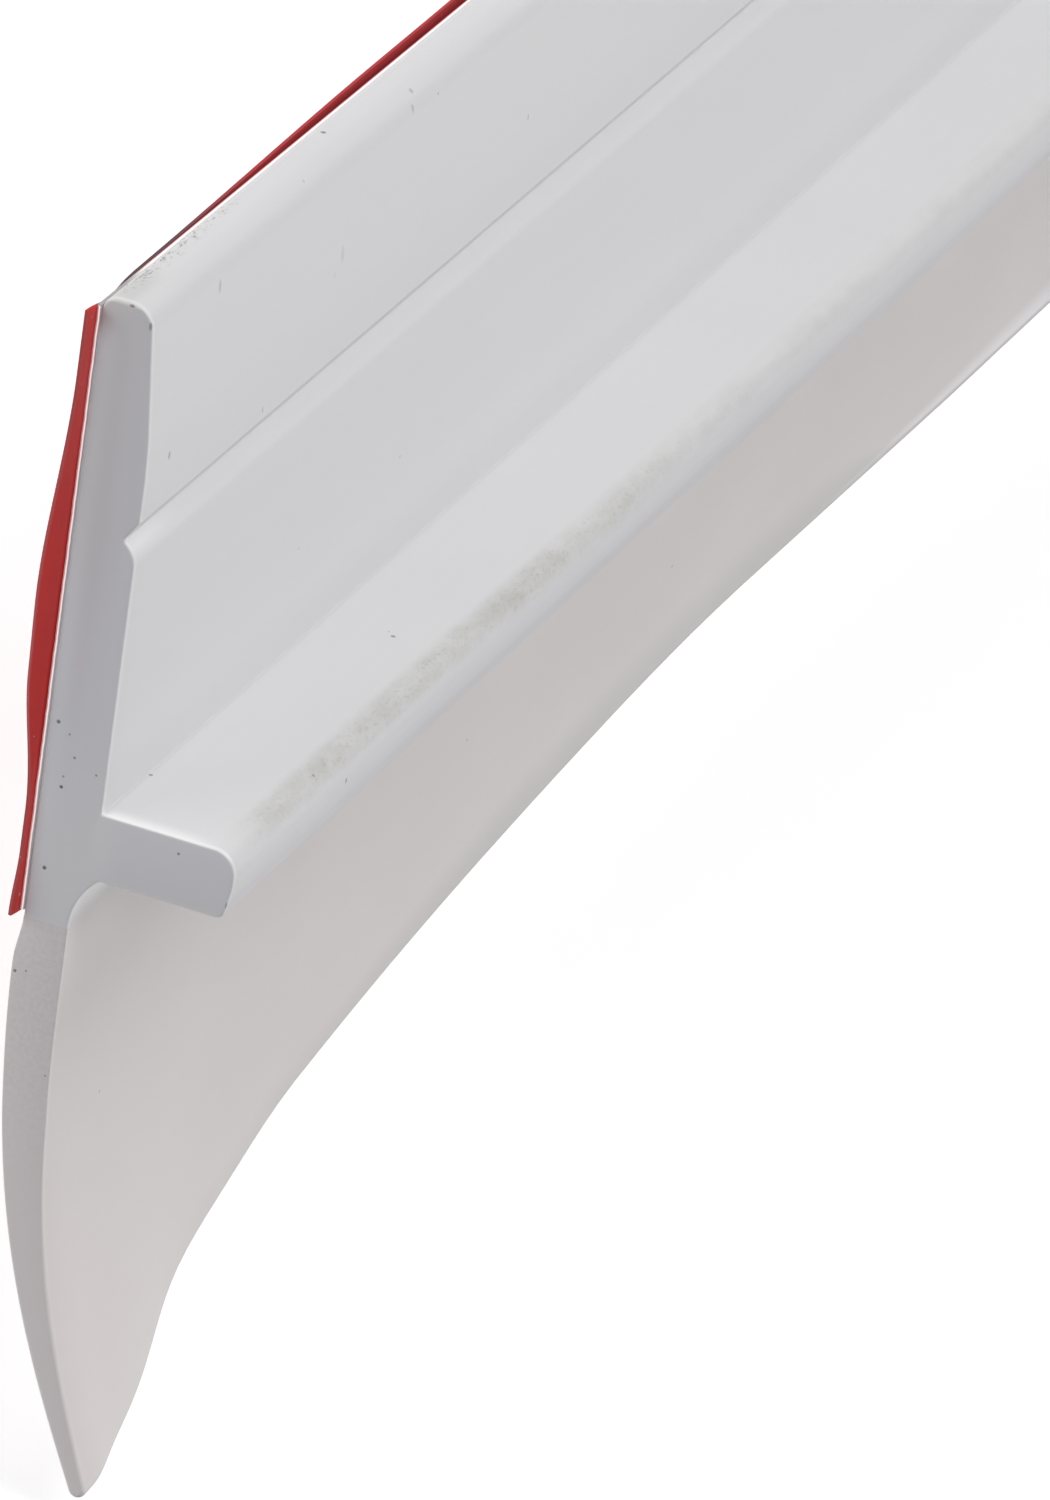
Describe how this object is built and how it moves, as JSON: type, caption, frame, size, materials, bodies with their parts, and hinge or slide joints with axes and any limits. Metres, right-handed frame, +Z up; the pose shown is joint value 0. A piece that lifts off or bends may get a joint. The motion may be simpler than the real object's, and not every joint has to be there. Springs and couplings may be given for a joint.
{
  "type": "door sweep",
  "caption": "Self-adhesive door sweep: a rigid strip with a drip shelf carries a soft curled sealing blade, with double-sided tape and a red release liner on its back.",
  "frame": {"origin": "middle of the adhesive face that bonds to the door: half-way along the strip and half-way up the tape", "axes": "+X along the strip, +Y out of the adhesive face towards the door, +Z up; the front with its shelf and groove faces -Y"},
  "size_m": [0.914, 0.0102, 0.0392],
  "materials": {
    "rigid_pvc": "satin white rigid PVC extrusion, cut square at the ends",
    "soft_pvc": "satin soft PVC, a warmer grey-white than the carrier",
    "adhesive": "thin clear-white pressure-sensitive adhesive",
    "tape_film": "thin white tape film",
    "liner_film": "red release film, lightly glossy"
  },
  "bodies": {
    "carrier": {"rigid_carrier": "rigid_pvc", "carrier_side_adhesive": "adhesive", "tape_film": "tape_film", "door_side_adhesive": "adhesive"},
    "blade": {"sealing_blade": "soft_pvc"},
    "liner": {"release_liner": "liner_film"}
  },
  "joints": [
    {"name": "blade_flex", "type": "hinge", "parent": "carrier", "child": "blade", "pos_m": [0, -0.00086, -0.0112], "axis": [1, 0, 0], "range_deg": [-50, 35], "stiffness_Nm_per_rad": 0.3, "deforming": ["sealing_blade"]},
    {"name": "liner_peel", "type": "slide", "parent": "carrier", "child": "liner", "axis": [0, 1, 0], "range_m": [0, 0.03]}
  ]
}
